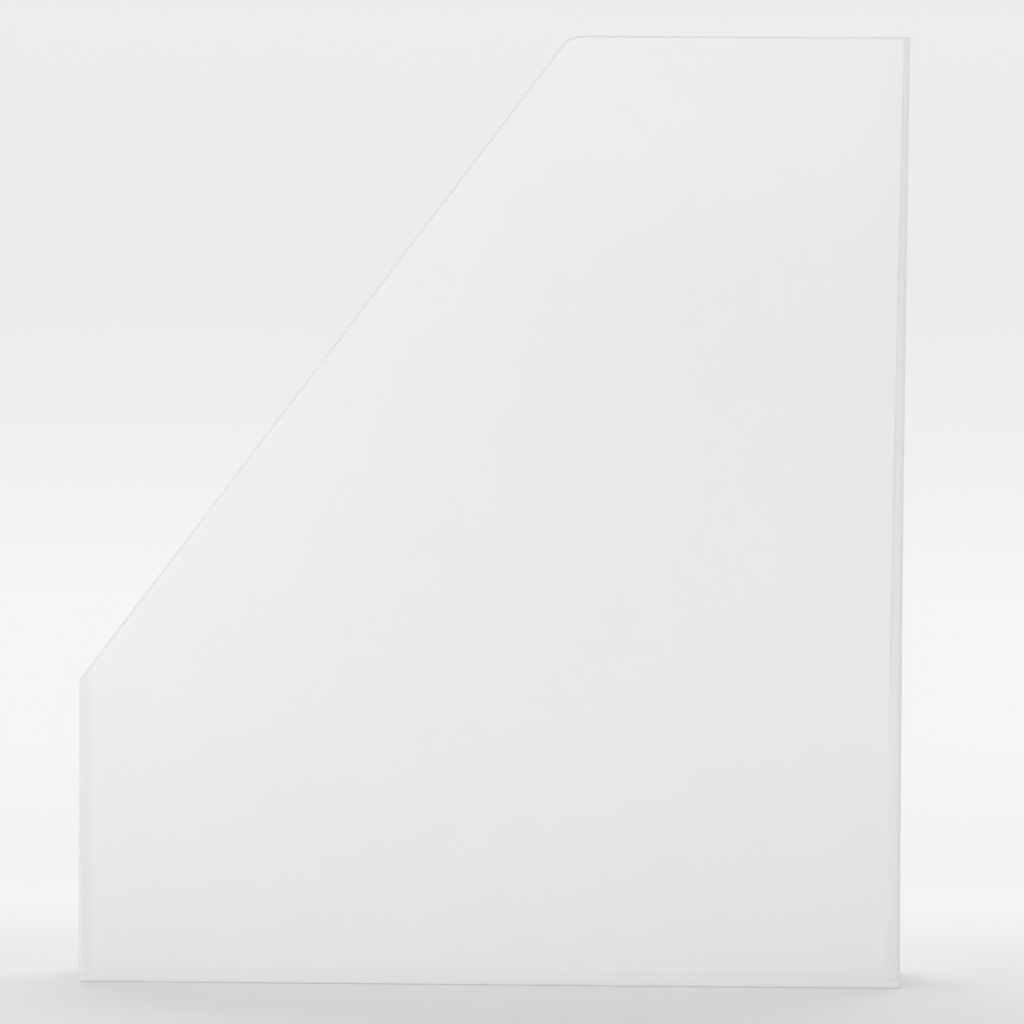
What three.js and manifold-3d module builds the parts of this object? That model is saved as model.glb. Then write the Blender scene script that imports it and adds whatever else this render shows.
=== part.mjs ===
// Desk magazine file: an open-topped box moulded in polypropylene that holds A4 magazines upright.
// It has a tall back, a low front, and two side walls that slope between them.
//
// The real object is a single moulding. Here it is divided along its inner corners into its walls,
// its base and the rails of its foot rim, each a separate closed solid with a narrow seam gap.
//
// Units are millimetres. -X is the low front, +X the tall back, +Y the left side, +Z is up.
// The origin is the middle of the footprint, on the surface that the file stands on.

import * as THREE from 'three';
import { mergeVertices } from 'three/addons/utils/BufferGeometryUtils.js';
import Module from 'manifold-3d';

const wasm = await Module();
wasm.setup();

// ---------------------------------------------------------------- driving dimensions

const DEPTH = 277; // overall, outside of the front rim to outside of the back rim
const WIDTH = 100; // overall, across the outside of the top rims
const HEIGHT = 318; // overall, surface to top rim
const FRONT_HEIGHT = 101; // surface to the rim of the low front wall
const TOP_FLAT = 114; // level rim, from the back edge to the corner where the slope starts
const SLOPE_CORNER_RADIUS = 8.75; // rounding where the slope meets the level rim

const RIM_WALL = 1.8; // wall thickness at the top rim
const OUTER_DRAFT = THREE.MathUtils.degToRad(0.25); // lean of the outer faces, for the mould cavity
const INNER_DRAFT = THREE.MathUtils.degToRad(0.45); // lean of the inner faces, for the mould core

const BASE_THICKNESS = 2.1; // plate that the magazines stand on
const FOOT_HEIGHT = 2.4; // how far the rim under the walls lifts that plate
const FOOT_LEDGE = 0.8; // how far that rim reaches in past the walls, under the plate
const FOOT_EDGE_RADIUS = 1.6; // rounding along the lowest outer edge
const UPRIGHT_EDGE_RADIUS = 1.5; // rounding of the four upright outer edges

const SEAM_GAP = 0.3; // clearance between neighbouring solids

const ARC_STEPS = 8; // straight pieces in a quarter round
const OVERSHOOT = 20; // how far a cutting block runs past what it cuts

const COLOUR = new THREE.Color(0.86, 0.86, 0.855);
const ROUGHNESS = 0.5;

// ---------------------------------------------------------------- faces, by height

const outerRise = Math.tan(OUTER_DRAFT);
const innerRise = Math.tan(INNER_DRAFT);

const wallAt = (z) => RIM_WALL + (HEIGHT - z) * (innerRise - outerRise);
const backOuter = (z) => DEPTH / 2 - (HEIGHT - z) * outerRise;
const frontOuter = (z) => -DEPTH / 2 + (FRONT_HEIGHT - z) * outerRise;
const sideOuter = (z) => WIDTH / 2 - (HEIGHT - z) * outerRise;
const backInner = (z) => backOuter(z) - wallAt(z);
const frontInner = (z) => frontOuter(z) + wallAt(z);
const sideInner = (z) => sideOuter(z) - wallAt(z);

const WALL_LOW = FOOT_HEIGHT; // the walls stand on the foot rim
const RAIL_TOP = FOOT_HEIGHT - SEAM_GAP;
const RAIL_WIDTH = wallAt(FOOT_HEIGHT) + FOOT_LEDGE;

// ---------------------------------------------------------------- solids

/** A manifold solid from a three.js geometry. Only its positions are used. */
function solid(geometry) {
  const bare = geometry.clone();
  bare.deleteAttribute('normal');
  bare.deleteAttribute('uv');
  const merged = mergeVertices(bare, 1e-5);
  return new wasm.Manifold(
    new wasm.Mesh({
      numProp: 3,
      vertProperties: Float32Array.from(merged.attributes.position.array),
      triVerts: Uint32Array.from(merged.index.array),
    }),
  );
}

/** A three.js geometry from a manifold solid. */
function geometryOf(body) {
  const { vertProperties, triVerts } = body.getMesh();
  const geometry = new THREE.BufferGeometry();
  geometry.setAttribute('position', new THREE.BufferAttribute(vertProperties, 3));
  geometry.setIndex(new THREE.BufferAttribute(triVerts, 1));
  geometry.computeVertexNormals();
  return geometry;
}

/** A six-sided block. x and y each give its two faces as functions of height, z its two levels. */
function block(x, y, z) {
  const box = new THREE.BoxGeometry(1, 1, 1);
  const corners = box.attributes.position;
  for (let i = 0; i < corners.count; i += 1) {
    const height = z[corners.getZ(i) < 0 ? 0 : 1];
    const across = x[corners.getX(i) < 0 ? 0 : 1](height);
    const along = y[corners.getY(i) < 0 ? 0 : 1](height);
    corners.setXYZ(i, across, along, height);
  }
  return solid(box);
}

/** A rectangle with rounded corners, seen from above. */
function roundedPlan(left, right, halfWidth, radius) {
  const plan = new THREE.Shape();
  plan.moveTo(left + radius, -halfWidth);
  plan.lineTo(right - radius, -halfWidth);
  plan.absarc(right - radius, -halfWidth + radius, radius, -Math.PI / 2, 0);
  plan.lineTo(right, halfWidth - radius);
  plan.absarc(right - radius, halfWidth - radius, radius, 0, Math.PI / 2);
  plan.lineTo(left + radius, halfWidth);
  plan.absarc(left + radius, halfWidth - radius, radius, Math.PI / 2, Math.PI);
  plan.lineTo(left, -halfWidth + radius);
  plan.absarc(left + radius, -halfWidth + radius, radius, Math.PI, 1.5 * Math.PI);
  return plan;
}

/** The heights of the outer skin, each with how far the skin draws in there to round the foot. */
function skinLevels() {
  const levels = [];
  for (let i = 0; i <= ARC_STEPS; i += 1) {
    const turn = (i / ARC_STEPS) * (Math.PI / 2);
    const z = FOOT_EDGE_RADIUS * (1 - Math.cos(turn));
    levels.push({ z, drawnIn: FOOT_EDGE_RADIUS * (1 - Math.sin(turn)) });
  }
  levels.push({ z: HEIGHT, drawnIn: 0 });
  return levels;
}

/** The whole outer form, as a filled block: drafted faces, rounded uprights and a rounded foot. */
function outerForm() {
  const levels = skinLevels();
  const count = levels.length - 1;
  const plan = roundedPlan(frontOuter(0), backOuter(0), sideOuter(0), UPRIGHT_EDGE_RADIUS);
  const form = new THREE.ExtrudeGeometry(plan, {
    depth: count,
    steps: count,
    curveSegments: ARC_STEPS,
    bevelEnabled: false,
  });
  const points = form.attributes.position;
  for (let i = 0; i < points.count; i += 1) {
    const { z, drawnIn } = levels[Math.round(points.getZ(i))];
    const outwards = z * outerRise - drawnIn;
    const x = points.getX(i) + Math.sign(points.getX(i)) * outwards;
    const y = points.getY(i) + Math.sign(points.getY(i)) * outwards;
    points.setXYZ(i, x, y, z);
  }
  return solid(form);
}

/** The side view's outline, filled and run across the width: it cuts the slope and the rims. */
function sideOutline() {
  const cornerX = DEPTH / 2 - TOP_FLAT;
  const slope = Math.atan2(HEIGHT - FRONT_HEIGHT, cornerX + DEPTH / 2);
  const tangent = SLOPE_CORNER_RADIUS * Math.tan(slope / 2);
  const outline = new THREE.Shape();
  outline.moveTo(DEPTH / 2 + OVERSHOOT, -OVERSHOOT);
  outline.lineTo(DEPTH / 2 + OVERSHOOT, HEIGHT);
  outline.lineTo(cornerX + tangent, HEIGHT);
  outline.absarc(
    cornerX + tangent,
    HEIGHT - SLOPE_CORNER_RADIUS,
    SLOPE_CORNER_RADIUS,
    Math.PI / 2,
    Math.PI / 2 + slope,
  );
  outline.lineTo(-DEPTH / 2 - OVERSHOOT, FRONT_HEIGHT - OVERSHOOT * Math.tan(slope));
  outline.lineTo(-DEPTH / 2 - OVERSHOOT, -OVERSHOOT);
  const across = WIDTH + 2 * OVERSHOOT;
  const prism = new THREE.ExtrudeGeometry(outline, {
    depth: across,
    curveSegments: ARC_STEPS,
    bevelEnabled: false,
  });
  prism.rotateX(Math.PI / 2);
  prism.translate(0, across / 2, 0);
  return solid(prism);
}

// ---------------------------------------------------------------- sub-parts

const skin = outerForm();
const outline = sideOutline();
const endToEnd = [(z) => frontOuter(z) - OVERSHOOT, (z) => backOuter(z) + OVERSHOOT];
const betweenSides = [(z) => -sideInner(z) + SEAM_GAP, (z) => sideInner(z) - SEAM_GAP];

/** A side wall, with the upright outer edges. side is -1 for the right wall and 1 for the left. */
function sideWall(side) {
  const inner = (z) => side * sideInner(z);
  const beyond = (z) => side * (sideOuter(z) + OVERSHOOT);
  const faces = side < 0 ? [beyond, inner] : [inner, beyond];
  return skin.intersect(outline).intersect(block(endToEnd, faces, [WALL_LOW, HEIGHT + OVERSHOOT]));
}

/** The low wall at the front, between the side walls. */
function frontWall() {
  return block([frontOuter, frontInner], betweenSides, [WALL_LOW, FRONT_HEIGHT]);
}

/** The tall wall at the back, between the side walls. */
function backWall() {
  return block([backInner, backOuter], betweenSides, [WALL_LOW, HEIGHT]);
}

/** The plate that the magazines stand on, held above the surface by the foot rim. */
function basePlate() {
  const length = [(z) => frontInner(z) + SEAM_GAP, (z) => backInner(z) - SEAM_GAP];
  return block(length, betweenSides, [FOOT_HEIGHT, FOOT_HEIGHT + BASE_THICKNESS]);
}

const railInner = sideOuter(0) - RAIL_WIDTH;
const betweenRails = [() => -railInner + SEAM_GAP, () => railInner - SEAM_GAP];

/** The foot rim under a side wall. side is -1 for the right rail and 1 for the left. */
function sideRail(side) {
  const inner = () => side * railInner;
  const beyond = () => side * (sideOuter(0) + OVERSHOOT);
  const faces = side < 0 ? [beyond, inner] : [inner, beyond];
  return skin.intersect(block(endToEnd, faces, [-OVERSHOOT, RAIL_TOP]));
}

/** The foot rim under an end wall. end is -1 for the front rail and 1 for the back. */
function endRail(end) {
  const outer = end < 0 ? -frontOuter(0) : backOuter(0);
  const inner = () => end * (outer - RAIL_WIDTH);
  const beyond = () => end * (outer + OVERSHOOT);
  const faces = end < 0 ? [beyond, inner] : [inner, beyond];
  return skin.intersect(block(faces, betweenRails, [-OVERSHOOT, RAIL_TOP]));
}

// ---------------------------------------------------------------- assembly

/** A named mesh with a polypropylene material of its own. */
function subPart(name, body) {
  const material = new THREE.MeshStandardMaterial({
    color: COLOUR,
    roughness: ROUGHNESS,
    metalness: 0,
  });
  const mesh = new THREE.Mesh(geometryOf(body), material);
  mesh.name = name;
  return mesh;
}

const walls = new THREE.Group();
walls.add(subPart('side_wall_right', sideWall(-1)));
walls.add(subPart('side_wall_left', sideWall(1)));
walls.add(subPart('front_wall', frontWall()));
walls.add(subPart('back_wall', backWall()));

const floor = new THREE.Group();
floor.add(subPart('base_plate', basePlate()));

const footRim = new THREE.Group();
footRim.add(subPart('foot_rail_right', sideRail(-1)));
footRim.add(subPart('foot_rail_left', sideRail(1)));
footRim.add(subPart('foot_rail_front', endRail(-1)));
footRim.add(subPart('foot_rail_back', endRail(1)));

const magazineFile = new THREE.Group();
magazineFile.add(walls, floor, footRim);

export default magazineFile;
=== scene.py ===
# %% [markdown]
# # A desk magazine file in milky polypropylene
# The object is an open box that holds A4 magazines upright: a tall back, a low front and side walls
# that slope between them. The real one is a single moulding, so here its walls are one continuous
# skin with rounded rims and coved corners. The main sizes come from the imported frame, in metres, and
# the small ones, such as a rim's rounding, are named in millimetres where they are used.

# %% Load the frame
import math

import bmesh
import bpy
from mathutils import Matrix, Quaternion, Vector


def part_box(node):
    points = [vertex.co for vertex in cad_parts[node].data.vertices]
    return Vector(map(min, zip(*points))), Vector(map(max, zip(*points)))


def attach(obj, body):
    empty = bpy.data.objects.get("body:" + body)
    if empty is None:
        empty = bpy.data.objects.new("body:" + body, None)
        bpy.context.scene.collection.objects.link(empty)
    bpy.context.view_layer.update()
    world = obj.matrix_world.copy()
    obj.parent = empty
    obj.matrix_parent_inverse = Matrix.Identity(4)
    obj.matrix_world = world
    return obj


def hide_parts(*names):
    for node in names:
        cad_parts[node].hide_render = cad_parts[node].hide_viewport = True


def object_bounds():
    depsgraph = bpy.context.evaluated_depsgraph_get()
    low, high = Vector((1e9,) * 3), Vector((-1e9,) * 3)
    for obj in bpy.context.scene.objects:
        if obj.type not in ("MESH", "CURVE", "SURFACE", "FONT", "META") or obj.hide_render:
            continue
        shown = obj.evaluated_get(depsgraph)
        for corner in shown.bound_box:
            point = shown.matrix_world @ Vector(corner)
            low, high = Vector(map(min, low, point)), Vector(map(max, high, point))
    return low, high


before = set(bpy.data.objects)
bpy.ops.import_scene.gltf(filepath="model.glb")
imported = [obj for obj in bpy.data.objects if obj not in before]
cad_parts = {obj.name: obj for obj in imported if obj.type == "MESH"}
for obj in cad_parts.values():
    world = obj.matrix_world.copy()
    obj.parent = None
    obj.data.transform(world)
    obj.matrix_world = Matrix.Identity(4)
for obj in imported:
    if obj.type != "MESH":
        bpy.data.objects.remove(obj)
cad_low, cad_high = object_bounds()
MM = 0.001
print("frame box", [round(v / MM, 1) for v in (*cad_low, *cad_high)], "mm")

# %% [markdown]
# The frame gives the overall box, the height of the low front and the level of the floor plate.
# Moulded walls lean outwards a little so that the file slips off the mould, and that lean, the draft,
# can be worked out too: the foot rail's box says how much narrower the file is at the surface.

# %% Sizes from the frame
half_depth = cad_high.x
half_width = cad_high.y
height = cad_high.z
front_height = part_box("front_wall")[1].z
plate_low, plate_top = (corner.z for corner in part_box("base_plate"))
rail_low, rail_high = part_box("foot_rail_right")
tall_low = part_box("back_wall")[0]

OUTER_RISE = (half_width + rail_low.y) / (height - rail_high.z)
RIM_WALL = 1.8 * MM
wall_at_plate = half_depth - (height - plate_low) * OUTER_RISE - tall_low.x
WALL_RISE = (wall_at_plate - RIM_WALL) / (height - plate_low)
print("outer draft", round(math.degrees(math.atan(OUTER_RISE)), 3), "degrees,",
      "wall at the plate", round(wall_at_plate / MM, 2), "mm")


def wall(z):
    return RIM_WALL + (height - z) * WALL_RISE


def back_face(z, inset=0.0):
    return half_depth - (height - z) * OUTER_RISE - inset


def front_face(z, inset=0.0):
    return -half_depth + (front_height - z) * OUTER_RISE + inset


def side_face(z, inset=0.0):
    return half_width - (height - z) * OUTER_RISE - inset


# %% [markdown]
# Each hollow or solid form of the mould is a stack of rings. A ring is a rectangle with round corners,
# or a circle, and the stack leans with the draft. Rounding a lower or upper edge only takes a few more
# rings that draw in along a quarter circle. A stack closed by its two end faces can cut others.

# %% Rings and stacks
ARC_STEPS = 10


def ring(front, back, half, radius):
    """Corner points of a rounded rectangle seen from above, anticlockwise."""
    centres = (
        (back - radius, half - radius, 0),
        (front + radius, half - radius, 1),
        (front + radius, -half + radius, 2),
        (back - radius, -half + radius, 3),
    )
    points = []
    for x, y, quarter in centres:
        for step in range(ARC_STEPS + 1):
            turn = (quarter + step / ARC_STEPS) * math.pi / 2
            points.append((x + radius * math.cos(turn), y + radius * math.sin(turn)))
    return points


def circle(x, y, radius):
    """Points of a circle seen from above, anticlockwise."""
    count = 4 * ARC_STEPS
    turns = [2 * math.pi * i / count for i in range(count)]
    return [(x + radius * math.cos(turn), y + radius * math.sin(turn)) for turn in turns]


def new_object(name, data):
    made = bpy.data.objects.new(name, data)
    bpy.context.scene.collection.objects.link(made)
    return made


def stacks(name, *all_rings):
    """Closed solids, each from (height, points) rings with the lowest first."""
    shape = bmesh.new()
    for rings in all_rings:
        rows = [[shape.verts.new((x, y, z)) for x, y in points] for z, points in rings]
        for lower, upper in zip(rows, rows[1:]):
            for i in range(len(lower)):
                j = (i + 1) % len(lower)
                shape.faces.new((lower[i], lower[j], upper[j], upper[i]))
        shape.faces.new(rows[0][::-1])
        shape.faces.new(rows[-1])
    mesh = bpy.data.meshes.new(name)
    shape.to_mesh(mesh)
    shape.free()
    return new_object(name, mesh)


def quarter_round(z, radius, upwards):
    """(height, drawn in) pairs that round the edge at z. upwards is 1 where the form stands on z."""
    pairs = []
    for step in range(ARC_STEPS + 1):
        turn = step / ARC_STEPS * math.pi / 2
        pairs.append((z + upwards * radius * (1 - math.cos(turn)), radius * (1 - math.sin(turn))))
    return pairs[::upwards]


# %% [markdown]
# The outside is one stack that starts at the surface, with a small round along its foot and a 1.5 mm
# round on its uprights. The core, which makes the inside, stands on the plate with a 1 mm cove, and its
# uprights grow rounder towards the plate, as a core is polished. Both run past the rims, because later
# cuts make those. A third, shallow stack hollows the underside and leaves the foot rim round it.

# %% Outside, core and underside
FOOT_EDGE_RADIUS = 0.6 * MM
UPRIGHT_RADIUS = 1.5 * MM
CORE_RADIUS = 0.6 * MM
CORE_RADIUS_GROWTH = 0.006
CORE_COVE = 1.0 * MM
RECESS_COVE = 0.7 * MM
RECESS_RADIUS = 1.2 * MM
PAST = 20 * MM
rail_width = rail_high.y - rail_low.y


def core_radius(z):
    return CORE_RADIUS + (height - z) * CORE_RADIUS_GROWTH


def leaning_ring(z, inset, radius):
    return z, ring(front_face(z, inset), back_face(z, inset), side_face(z, inset), radius)


outside_rings = [leaning_ring(z, drawn, UPRIGHT_RADIUS)
                 for z, drawn in quarter_round(0.0, FOOT_EDGE_RADIUS, 1)]
outside_rings.append(leaning_ring(height + PAST / 2, 0.0, UPRIGHT_RADIUS))
outside = stacks("outside", outside_rings)

core_rings = [leaning_ring(z, wall(z) + drawn, core_radius(z))
              for z, drawn in quarter_round(plate_top, CORE_COVE, 1)]
core_rings.append(leaning_ring(height + PAST, wall(height + PAST), core_radius(height + PAST)))
core = stacks("core", core_rings)

recess_rings = [leaning_ring(-PAST, rail_width, RECESS_RADIUS)]
recess_rings += [leaning_ring(z, rail_width + drawn, RECESS_RADIUS)
                 for z, drawn in quarter_round(plate_low, RECESS_COVE, -1)]
recess = stacks("recess", recess_rings)
print("wall", round(wall(height) / MM, 2), "to", round(wall(plate_low) / MM, 2), "mm")


# %% [markdown]
# The slope isn't moulded by the core. It is simply where the walls stop, so it is cut by a prism that
# has the side view's outline: up the back, along the level rim, round the corner and down the slope.
# A second block clears the mouth above the low front wall, whose rim is level from side to side. It is
# a little narrower than the hollow, so that no two faces share a plane, which would leave slivers.

# %% Side outline and mouth
TOP_FLAT = 114 * MM
SLOPE_CORNER_RADIUS = 8.75 * MM
MOUTH_INSET = 0.3 * MM
MOUTH_DROP = 0.3 * MM
corner_x = half_depth - TOP_FLAT
slope_angle = math.atan2(height - front_height, corner_x + half_depth)
tangent = SLOPE_CORNER_RADIUS * math.tan(slope_angle / 2)


def outline_points():
    """The side view's outline as (x, z), from the foot of the back edge."""
    points = [(half_depth + PAST, -PAST), (half_depth + PAST, height)]
    centre_x, centre_z = corner_x + tangent, height - SLOPE_CORNER_RADIUS
    steps = 2 * ARC_STEPS
    for step in range(steps + 1):
        turn = math.pi / 2 + slope_angle * step / steps
        points.append((centre_x + SLOPE_CORNER_RADIUS * math.cos(turn),
                       centre_z + SLOPE_CORNER_RADIUS * math.sin(turn)))
    points.append((-half_depth - PAST, front_height - PAST * math.tan(slope_angle)))
    points.append((-half_depth - PAST, -PAST))
    return points


def prism(name, points, half):
    """A closed solid with this (x, z) outline, run across the file from -half to half."""
    shape = bmesh.new()
    right = [shape.verts.new((x, -half, z)) for x, z in points]
    left = [shape.verts.new((x, half, z)) for x, z in points]
    for i in range(len(points)):
        j = (i + 1) % len(points)
        shape.faces.new((right[i], right[j], left[j], left[i]))
    shape.faces.new(right[::-1])
    shape.faces.new(left)
    bmesh.ops.recalc_face_normals(shape, faces=shape.faces)
    mesh = bpy.data.meshes.new(name)
    shape.to_mesh(mesh)
    shape.free()
    return new_object(name, mesh)


def mouth_ring(z):
    """The mouth's outline, a little narrower than the hollow, so it ends on the corners' rounding."""
    half = side_face(z, wall(z) + MOUTH_INSET)
    front = -half_depth - PAST
    return z, [(0.0, half), (front, half), (front, -half), (0.0, -half)]


side_view = prism("side_view", outline_points(), half_width + PAST)
mouth = stacks("mouth", [mouth_ring(front_height - MOUTH_DROP), mouth_ring(height + PAST)])
print("slope", round(math.degrees(slope_angle), 1), "degrees")

# %% [markdown]
# The cuts are Boolean modifiers, each applied and its tool thrown away. What is left has knife edges
# along the rims, so a bevel rounds every outward edge that is sharper than the turns of the rings.

# %% Cut and round the moulding
RIM_RADIUS = 0.3 * MM
SHARPER_THAN = math.radians(38)
RIM_STEPS = 4


def apply_modifiers(piece):
    scene_state = bpy.context.evaluated_depsgraph_get()
    made = bpy.data.meshes.new_from_object(piece.evaluated_get(scene_state))
    piece.modifiers.clear()
    piece.data = made


def cut(piece, tool, operation="DIFFERENCE"):
    step = piece.modifiers.new(operation.lower(), "BOOLEAN")
    step.operation = operation
    step.solver = "EXACT"
    step.object = tool
    apply_modifiers(piece)
    bpy.data.objects.remove(tool)


moulding = outside
moulding.name = "moulded_file"
cut(moulding, core)
cut(moulding, recess)
cut(moulding, side_view, "INTERSECT")
cut(moulding, mouth)

shape = bmesh.new()
shape.from_mesh(moulding.data)
weight = shape.edges.layers.float.new("bevel_weight_edge")
for edge in shape.edges:
    edge[weight] = float(edge.is_convex and edge.calc_face_angle(0.0) > SHARPER_THAN)
shape.to_mesh(moulding.data)
shape.free()

bevel = moulding.modifiers.new("rims", "BEVEL")
bevel.width = RIM_RADIUS
bevel.segments = RIM_STEPS
bevel.limit_method = "WEIGHT"
bevel.use_clamp_overlap = False
apply_modifiers(moulding)
print("moulding", len(moulding.data.vertices), "vertices,", len(moulding.data.polygons), "faces")

# %% [markdown]
# A mould leaves its marks where they don't matter. Plastic enters through a gate in the middle of the
# underside, whose snapped stub sits in a dimple so that it can't scratch a desk. The pins that push the
# file off the core leave shallow discs inside, on the plate. Both are small cuts, made after the bevel.

# %% Gate and ejector marks
DIMPLE_RADIUS = 5.0 * MM
DIMPLE_DEPTH = 0.5 * MM
STUB_RADIUS = 1.2 * MM
STUB_HEIGHT = 0.35 * MM
STUB_TAPER = 0.8
SINK = 0.3 * MM
PIN_RADIUS = 4.0 * MM
PIN_DEPTH = 0.15 * MM
PINS_ALONG = 4
PIN_OFFSET = 0.62

dimple_top = plate_low + DIMPLE_DEPTH
cut(moulding, stacks("dimple", [
    (plate_low - PAST, circle(0, 0, DIMPLE_RADIUS)),
    (plate_low, circle(0, 0, DIMPLE_RADIUS)),
    (dimple_top, circle(0, 0, DIMPLE_RADIUS - DIMPLE_DEPTH)),
]))
cut(moulding, stacks("stub", [
    (dimple_top - STUB_HEIGHT, circle(0, 0, STUB_RADIUS * STUB_TAPER)),
    (dimple_top + SINK, circle(0, 0, STUB_RADIUS)),
]), "UNION")

pins = []
for i in range(PINS_ALONG):
    x = half_depth * 2 * ((i + 0.5) / PINS_ALONG - 0.5)
    for side in (-1, 1):
        spot = circle(x, side * PIN_OFFSET * half_width, PIN_RADIUS)
        pins.append([(plate_top - PIN_DEPTH, spot), (plate_top + PAST, spot)])
cut(moulding, stacks("pins", *pins))
print("gate and", len(pins), "pin marks,", len(moulding.data.polygons), "faces")

# %% [markdown]
# A thin box never cools quite flat: its tall walls draw in by about half a millimetre at mid-height.
# To bend them, the big faces first need points of their own, so a grid of planes slices the mesh.

# %% Slice and bow the walls
SLICE = 18 * MM
BACK_BOW = 0.5 * MM
SIDE_BOW = 0.6 * MM
BOW_REACH = 90 * MM
NEARLY_ON = 1e-6
FAVOUR_BIG_FACES = 80


def slices(low, high):
    count = round((high - low) / SLICE)
    return [low + (high - low) * i / count for i in range(1, count)]


shape = bmesh.new()
shape.from_mesh(moulding.data)
axes = (
    ((1, 0, 0), slices(-half_depth, half_depth)),
    ((0, 1, 0), slices(-half_width, half_width)),
    ((0, 0, 1), slices(0.0, height)),
)
for normal, places in axes:
    for place in places:
        everything = shape.verts[:] + shape.edges[:] + shape.faces[:]
        at = Vector(normal) * place
        bmesh.ops.bisect_plane(shape, geom=everything, plane_co=at, plane_no=normal, dist=NEARLY_ON)
for point in shape.verts:
    x, y, z = point.co
    rise = math.sin(math.pi * z / height)
    near_back = max(0.0, 1 - (half_depth - x) / BOW_REACH)
    along = math.cos(math.pi * x / (2 * half_depth))
    point.co.x -= BACK_BOW * rise * near_back ** 2
    point.co.y -= SIDE_BOW * rise * along * y / half_width
shape.to_mesh(moulding.data)
shape.free()
for face in moulding.data.polygons:
    face.use_smooth = True
weighted = moulding.modifiers.new("flat faces stay flat", "WEIGHTED_NORMAL")
weighted.keep_sharp = False
weighted.weight = FAVOUR_BIG_FACES
print("sliced", len(moulding.data.vertices), "vertices,", len(moulding.data.polygons), "faces")

# %% [markdown]
# Shader maths reads best as sums. This class wraps a socket: adding, taking away or multiplying makes
# the Math node for it, and node() makes any other node.

# %% Shader sums


class Wire:
    """A shader socket that can be used in Python sums."""

    def __init__(self, tree, socket=None):
        self.tree = tree
        self.socket = socket

    def node(self, kind, settings=None, inputs=None, out=0):
        """A node of this kind, its settings made first, then its sockets given values or wires."""
        made = self.tree.nodes.new(kind)
        for name, value in (settings or {}).items():
            if name == "stops":
                self._set_stops(made.color_ramp, value)
            else:
                setattr(made, name, value)
        for name, value in (inputs or {}).items():
            if isinstance(value, Wire):
                self.tree.links.new(value.socket, made.inputs[name])
            else:
                made.inputs[name].default_value = value
        return Wire(self.tree, made.outputs[out]) if made.outputs else made

    @staticmethod
    def _set_stops(ramp, stops):
        while len(ramp.elements) < len(stops):
            ramp.elements.new(1.0)
        for element, (place, colour) in zip(ramp.elements, stops):
            element.position = place
            element.color = colour

    def math(self, operation, first, second=0.0):
        return self.node("ShaderNodeMath", {"operation": operation}, {0: first, 1: second})

    def __add__(self, other):
        return self.math("ADD", self, other)

    def __radd__(self, other):
        return self.math("ADD", other, self)

    def __sub__(self, other):
        return self.math("SUBTRACT", self, other)

    def __rsub__(self, other):
        return self.math("SUBTRACT", other, self)

    def __mul__(self, other):
        return self.math("MULTIPLY", self, other)

    def __rmul__(self, other):
        return self.math("MULTIPLY", other, self)


def blank_material(name):
    """A material with an empty node tree, and a wire on that tree."""
    material = bpy.data.materials.new(name)
    material.use_nodes = True
    material.node_tree.nodes.clear()
    return material, Wire(material.node_tree)


def smooth_step(value, low, high):
    """0 below low and 1 above high, with a soft climb between them."""
    return value.node("ShaderNodeMapRange", {"interpolation_type": "SMOOTHSTEP"},
                      {"Value": value, "From Min": low, "From Max": high})


def mix_colours(factor, first, second):
    return factor.node("ShaderNodeMix", {"data_type": "RGBA"}, {0: factor, 6: first, 7: second}, out=2)


def grey(level):
    return level, level, level, 1


print("shader sums: adding, taking away and multiplying each make a Math node")

# %% [markdown]
# Where two walls of a milky box meet, the plastic is deeper and light leaks away along the other wall.
# That shade is painted into the colour here: each wall's edge shows through its neighbour as a painted
# darker band, crisp and with a thin painted dark line inside it up the tall back, softer low down and at
# the front. The rims get painted shade too, the plate's edge a faint painted shade line, and the walls
# are painted a little darker towards their ends and rims. Painted light whitens the foot strip and the
# lowest
# 80 mm of the walls. All of these are masks worked out from the place: how far a point lies past the
# hollow's faces, or below the rim.

# %% Masks for painted shade at the corners and rims, and painted light at the foot
# Sizes of the painted shade and painted light masks.
BAND_SOFTNESS = 0.8 * MM
LOW_SOFTNESS = 4.0 * MM
LINE_HALF_WIDTH = 0.7 * MM
CRISP_RISE = (70 * MM, 115 * MM)
RIM_LINE = 1.1 * MM
STRIP_EDGE = (1.6 * MM, 2.4 * MM)
FOOT_PAINTED_LIGHT_REACH = 80 * MM
BACK_DIMMING = 25 * MM
FRONT_DIMMING = 55 * MM
RIM_DIMMING = 0.5
RIM_DIMMING_REACH = 50 * MM
DIMMING_RISE = (30 * MM, 120 * MM)
DIMMING_LOST = 0.5


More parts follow.
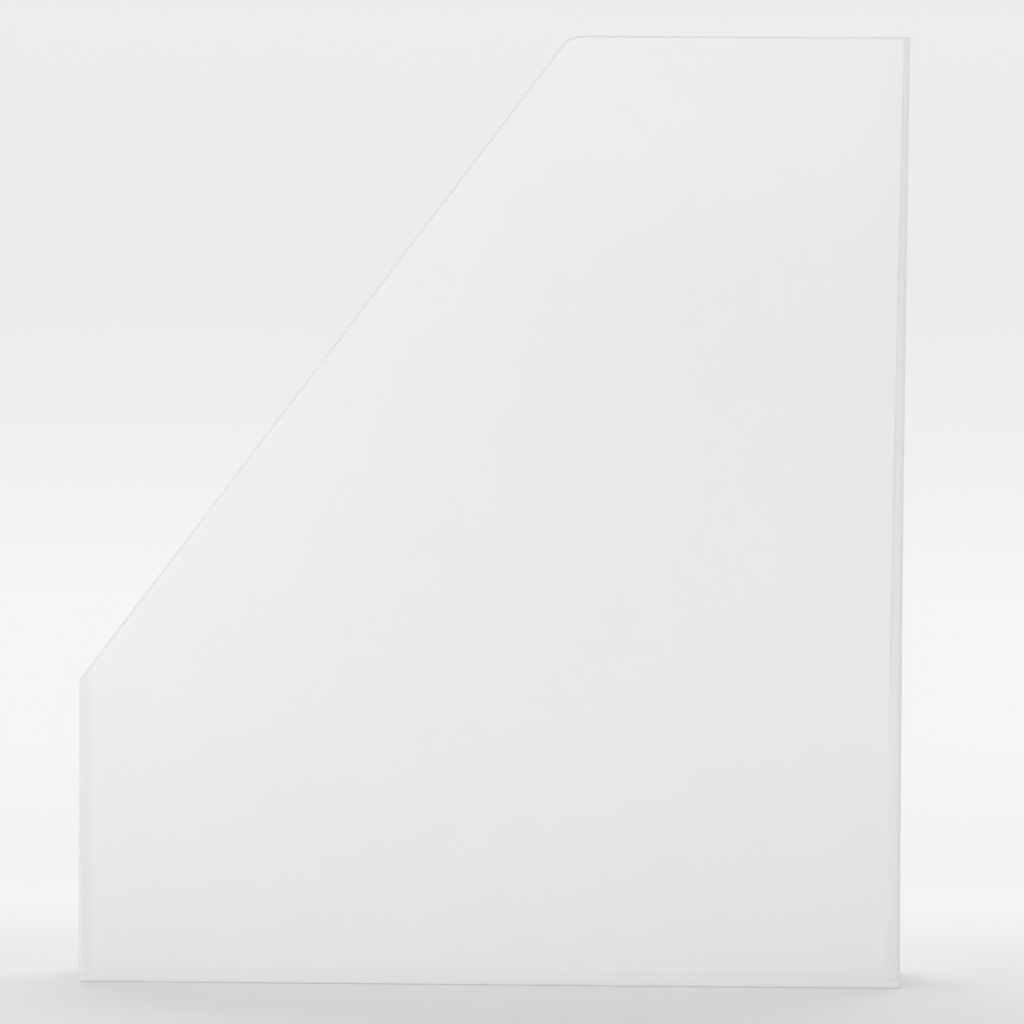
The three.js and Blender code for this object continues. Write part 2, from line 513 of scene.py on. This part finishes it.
def painted_light_and_shade_masks(start):
    """Masks by name, each from 0 to 1, that say where painted shade darkens or painted light lightens the
    moulding's colour.
    """
    place = start.node("ShaderNodeTexCoord", out=3)
    axes = place.node("ShaderNodeSeparateXYZ", None, {0: place})
    x, y, z = (Wire(start.tree, socket) for socket in axes.socket.node.outputs)
    below_rim = height - z
    rise = z.math("SINE", z * (math.pi / height))
    inner_rise = OUTER_RISE + WALL_RISE
    back = half_depth - RIM_WALL - below_rim * inner_rise - rise * BACK_BOW
    front = front_face(height, RIM_WALL) + below_rim * inner_rise
    side = half_width - RIM_WALL - below_rim * inner_rise
    past_ends = x.math("MAXIMUM", x - back, front - x)
    past_sides = y.math("ABSOLUTE", y) - side
    corner = x.math("MINIMUM", past_ends + below_rim * CORE_RADIUS_GROWTH, past_sides)
    # Painted shade: where two walls meet, a darker band is painted into the colour, crisp up the tall
    # back and softer low down and at the front.
    crisp = smooth_step(z, *CRISP_RISE) * smooth_step(x, 0.0, half_depth / 2)
    sharp_band = smooth_step(corner, -BAND_SOFTNESS / 2, BAND_SOFTNESS)
    soft_band = smooth_step(corner, -LOW_SOFTNESS / 2, LOW_SOFTNESS)
    painted_shade_band = sharp_band * crisp + soft_band * (1 - crisp)
    # Painted shade: a thin dark line is painted along the inner corner up the tall back.
    off_line = corner.math("ABSOLUTE", corner)
    painted_shade_line = (1 - smooth_step(off_line, 0.0, LINE_HALF_WIDTH)) * crisp
    # Painted shade: a faint dark line is painted where the plate meets the walls.
    plate_edge = z.math("ABSOLUTE", z - plate_top)
    seam = 1 - smooth_step(plate_edge, 0.0, 2 * LINE_HALF_WIDTH)
    # Painted shade: the rims, along the top and down the slope, are painted darker.
    under_slope = (x + half_depth) * math.sin(slope_angle) - (z - front_height) * math.cos(slope_angle)
    # A smooth minimum of this reach turns the corner with the same rounding as the slope's.
    corner_reach = 6 * SLOPE_CORNER_RADIUS * (1 - math.cos(slope_angle / 2))
    under_rim = x.node("ShaderNodeMath", {"operation": "SMOOTH_MIN"}, {
        0: below_rim, 1: under_slope, 2: corner_reach})
    rim = 1 - smooth_step(under_rim, 0.0, RIM_LINE)
    # Painted light: the lowest 2 mm of the foot is painted whiter.
    strip = 1 - smooth_step(z, *STRIP_EDGE)
    # Painted light: the walls are painted whiter towards the foot, over their lowest 80 mm.
    low = 1 - smooth_step(z, 0.0, FOOT_PAINTED_LIGHT_REACH)
    # Painted shade: the walls are painted a little darker towards their ends and rims, most of all low
    # down at the back.
    back_share = 1 - DIMMING_LOST * smooth_step(z, *DIMMING_RISE)
    back_dimming = smooth_step(x - back, -BACK_DIMMING, 0.0) * back_share
    rim_dimming = RIM_DIMMING * (1 - smooth_step(under_rim, 0.0, RIM_DIMMING_REACH))
    painted_dimming = back_dimming + smooth_step(front - x, -FRONT_DIMMING, 0.0) + rim_dimming
    masks = {"low": low, "painted_dimming": painted_dimming, "painted_shade_band": painted_shade_band, "painted_shade_line": painted_shade_line}
    masks.update({"seam": seam, "rim": rim, "strip": strip})
    return masks


print("the foot's lightening ends at", round(FOOT_PAINTED_LIGHT_REACH / MM), "mm,",
      "the back bands are crisp from", round(CRISP_RISE[1] / MM), "mm")

# %% [markdown]
# Polypropylene like this is milky: light that meets the wall goes in, scatters and comes out on either
# side. A thin wall therefore glows with what is behind it. Subsurface scattering does this on a closed
# skin of true thickness, and a little rough transmission lets the nearest things show through.

# %% Milky polypropylene
MILK = (0.973, 0.98, 0.984, 1)
CLOUD = (0.966, 0.967, 0.966, 1)
CLOUD_EDGE = (0.35, 0.65)
# Painted light: a whiter milk that the lowest walls and the foot strip are painted towards.
PAINTED_LIGHT_WHITE = (0.994, 0.994, 0.99, 1)
# Painted shade and painted light: each mask's strength and the tone it mixes into the milk. The dimming,
# band, line, plate edge and rims are painted darker; the lowest walls and the foot strip are painted
# whiter.
PAINTED_LIGHT_AND_SHADE = {
    "low": (1.0, PAINTED_LIGHT_WHITE),
    "painted_dimming": (1.0, (0.93, 0.93, 0.93, 1)),
    "painted_shade_band": (1.0, (0.86, 0.86, 0.862, 1)),
    "painted_shade_line": (0.7, (0.78, 0.78, 0.785, 1)),
    "seam": (0.35, (0.93, 0.93, 0.925, 1)),
    "rim": (1.0, (0.77, 0.77, 0.77, 1)),
    "strip": (1.0, PAINTED_LIGHT_WHITE),
}
CLOUDS_PER_METRE = 9.0
SMEARS_PER_METRE = 60.0
GRAINS_PER_METRE = 1400.0
GRAIN_STRENGTH = 0.35
GRAIN_DEPTH = 0.04 * MM
SATIN = 0.30
SMEAR_DEPTH = 0.06
BENDING = 1.49
SEE_THROUGH = 0.15
SCATTER_DEPTH = 1.5 * MM


def noise(place, per_metre, detail):
    inputs = {"Vector": place, "Scale": per_metre, "Detail": detail}
    return place.node("ShaderNodeTexNoise", None, inputs)


material, start = blank_material("milky_polypropylene")
place = start.node("ShaderNodeTexCoord", out=3)
masks = painted_light_and_shade_masks(start)
cloud = noise(place, CLOUDS_PER_METRE, 2.0)
grain = noise(place, GRAINS_PER_METRE, 3.0)
smear = noise(place, SMEARS_PER_METRE, 3.0)
colour = mix_colours(smooth_step(cloud, *CLOUD_EDGE), MILK, CLOUD)
# Painted shade and painted light are mixed into the milk colour here, one mask at a time.
for name, (strength, tone) in PAINTED_LIGHT_AND_SHADE.items():
    colour = mix_colours(masks[name] * strength, colour, tone)
bump = grain.node("ShaderNodeBump", None, {
    "Height": grain, "Strength": GRAIN_STRENGTH, "Distance": GRAIN_DEPTH})
skin = start.node("ShaderNodeBsdfPrincipled", None, {
    "Base Color": colour,
    "Roughness": SATIN + smear * SMEAR_DEPTH,
    "IOR": BENDING,
    "Normal": bump,
    "Transmission Weight": SEE_THROUGH,
    "Subsurface Weight": 1.0,
    "Subsurface Radius": (1.0, 1.0, 1.0),
    "Subsurface Scale": SCATTER_DEPTH,
})
start.node("ShaderNodeOutputMaterial", None, {"Surface": skin})
moulding.data.materials.clear()
moulding.data.materials.append(material)
print("plastic", len(material.node_tree.nodes), "nodes,", len(PAINTED_LIGHT_AND_SHADE), "tones over the milk")

# %% [markdown]
# The one moulded piece stands for all nine solids of the frame and rides on its only body.

# %% Tie the moulding to the frame
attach(moulding, "root")
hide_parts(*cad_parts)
print("stands for", len(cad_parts), "nodes")

# %% [markdown]
# The surface is one very large disc. Near the file it is a matt sheet that takes shadows, its colour
# painted a shade paler in front than behind: painted light in front of the file and painted shade
# behind it. Farther off it hands over to an even glow, as a white sheet lit from end to end looks, so it
# never shows a rim.

# %% Floor
FLOOR_RADIUS = 14.0
FLOOR_SIDES = 96
# Painted light and shade on the sheet: paler in front of the file, darker behind it.
SHEET_FRONT = 0.94
SHEET_BEHIND = 0.875
SHEET_TURN = (-0.15, 0.2)
HAND_OVER = (0.25, 0.9)
GLOW_REACH = (0.25, 3.2)
GLOW_LEVEL = (0.885, 0.921)
GLOW_TINT = (0.995, 1.0, 1.01, 1)

floor_mesh = bpy.data.meshes.new("floor")
floor_shape = bmesh.new()
bmesh.ops.create_circle(floor_shape, cap_ends=True, segments=FLOOR_SIDES, radius=FLOOR_RADIUS)
floor_shape.to_mesh(floor_mesh)
floor_shape.free()
floor = new_object("floor", floor_mesh)
matt, start = blank_material("pale_floor")
where = start.node("ShaderNodeTexCoord", out=3)
reach = where.node("ShaderNodeVectorMath", {"operation": "LENGTH"}, {0: where}, out=1)
level = reach.node("ShaderNodeMapRange", {"interpolation_type": "SMOOTHSTEP"}, {
    "Value": reach, "From Min": GLOW_REACH[0], "From Max": GLOW_REACH[1],
    "To Min": GLOW_LEVEL[0], "To Max": GLOW_LEVEL[1]})
behind = where.node("ShaderNodeSeparateXYZ", None, {0: where}, out=1)
# Painted light and shade: the sheet's colour is paler in front of the file than behind it.
painted_light_and_shade_paper = mix_colours(smooth_step(behind, *SHEET_TURN), grey(SHEET_FRONT), grey(SHEET_BEHIND))
sheet = reach.node("ShaderNodeBsdfDiffuse", None, {"Color": painted_light_and_shade_paper})
glow = reach.node("ShaderNodeEmission", None, {"Color": GLOW_TINT, "Strength": level})
both = reach.node("ShaderNodeMixShader", None, {0: smooth_step(reach, *HAND_OVER), 1: sheet, 2: glow})
reach.node("ShaderNodeOutputMaterial", None, {"Surface": both})
floor.data.materials.append(matt)
print("floor", 2 * FLOOR_RADIUS, "m across, a glow beyond", HAND_OVER[1], "m")

# %% [markdown]
# A pale room lights the file from all round. Low down, just above the far edge of the sheet, it is as
# bright as the sheet, then it dims slightly and is darker overhead. The ramp runs on the height of the
# direction that is looked in.

# %% World
BELOW = 0.02
SKY = (0.585, 0.580, 0.575, 1)
SKY_FROM = 0.28
RISE_AND_LEVEL = (
    (-0.009, 0.916),
    (-0.001, 0.893),
    (0.011, 0.862),
    (0.028, 0.835),
    (0.058, 0.847),
    (0.15, 0.7),
)
stops = [(BELOW + rise, grey(level)) for rise, level in RISE_AND_LEVEL]
stops += [(BELOW + SKY_FROM, SKY), (1.0, SKY)]

world = bpy.data.worlds.new("studio")
bpy.context.scene.world = world
world.use_nodes = True
world.node_tree.nodes.clear()
start = Wire(world.node_tree)
direction = start.node("ShaderNodeTexCoord", out=0)
up = direction.node("ShaderNodeSeparateXYZ", None, {0: direction}, out=2)
shade = up.node("ShaderNodeValToRGB", {"stops": stops}, {0: up + BELOW})
room = up.node("ShaderNodeBackground", None, {"Color": shade, "Strength": 1.0})
up.node("ShaderNodeOutputWorld", None, {"Surface": room})
print("room", len(stops), "stops from the horizon up")

# %% [markdown]
# A high softbox behind the file throws its shadow forwards and makes the walls glow. A long, low card
# in front lifts the near side, most of all at the foot. Two weaker boxes beyond the ends keep the end
# walls and the sheet beside them from greying, the left one warmer and brighter than the right.

# %% Lights


def softbox(name, place, target, size, power, tint=(1, 1, 1)):
    light = bpy.data.lights.new(name, "AREA")
    light.shape = "RECTANGLE"
    light.size, light.size_y = size
    light.energy = power
    light.color = tint
    made = new_object(name, light)
    made.location = place
    made.rotation_euler = (Vector(target) - Vector(place)).to_track_quat("-Z", "Y").to_euler()
    made.visible_camera = False
    print(name, power, "W")


middle = (cad_low + cad_high) / 2
foot = Vector((0.0, 0.0, 0.0))
low_down = Vector((-0.05, 0.0, 0.05))
softbox("back_high", place=(0.0, 1.5, 1.2), target=foot, size=(1.4, 0.8), power=16.0,
        tint=(0.94, 0.985, 1.0))
softbox("front_card", place=(-0.2, -0.85, 0.06), target=low_down, size=(1.2, 0.1), power=1.95,
        tint=(1.0, 0.985, 0.97))
softbox("left_end", place=(-2.2, -0.6, 0.9), target=middle, size=(1.2, 1.6), power=6.0,
        tint=(1.0, 0.965, 0.975))
softbox("right_end", place=(2.2, -0.6, 0.9), target=middle, size=(1.2, 1.6), power=2.5)

# %% [markdown]
# The file is seen square from its right side, through a long lens from nearly three metres away, so its
# outline is almost free of perspective. The camera stands level with the middle of the file and a little
# towards its back.

# %% Camera
CAMERA_DISTANCE = 2.9
CAMERA_HEIGHT = 157.7 * MM
AIM_HEIGHT = 158.5 * MM
AIM_OFFSET = 4.6 * MM
CAMERA_TURN = math.radians(2.18)
CAMERA_ROLL = math.radians(0.393)
LENS_MM = 299.4
SENSOR_MM = 36.0
NEAREST, FARTHEST = 0.1, 60.0

lens = bpy.data.cameras.new("camera")
lens.sensor_width = SENSOR_MM
lens.lens = LENS_MM
lens.clip_start, lens.clip_end = NEAREST, FARTHEST
camera = new_object("camera", lens)
away = Vector((math.sin(CAMERA_TURN), -math.cos(CAMERA_TURN), 0.0))
across = Vector((math.cos(CAMERA_TURN), math.sin(CAMERA_TURN), 0.0))
camera.location = away * CAMERA_DISTANCE + Vector((0.0, 0.0, CAMERA_HEIGHT))
aim = across * AIM_OFFSET + Vector((0.0, 0.0, AIM_HEIGHT))
facing = (aim - camera.location).to_track_quat("-Z", "Y")
camera.rotation_mode = "QUATERNION"
camera.rotation_quaternion = facing @ Quaternion((0, 0, 1), CAMERA_ROLL)
bpy.context.scene.camera = camera
bpy.context.scene.view_settings.view_transform = "Standard"
print("camera at", [round(v, 3) for v in camera.location], "with a", LENS_MM, "mm lens")

# %% [markdown]
# Light crosses several walls before it leaves a milky box, so paths need more turns than usual. Too few
# and the corners come out nearly black.

# %% Light paths
paths = bpy.context.scene.cycles
paths.max_bounces = 24
paths.diffuse_bounces = 12
paths.glossy_bounces = 8
paths.transmission_bounces = 20
print("paths of up to", paths.max_bounces, "turns")
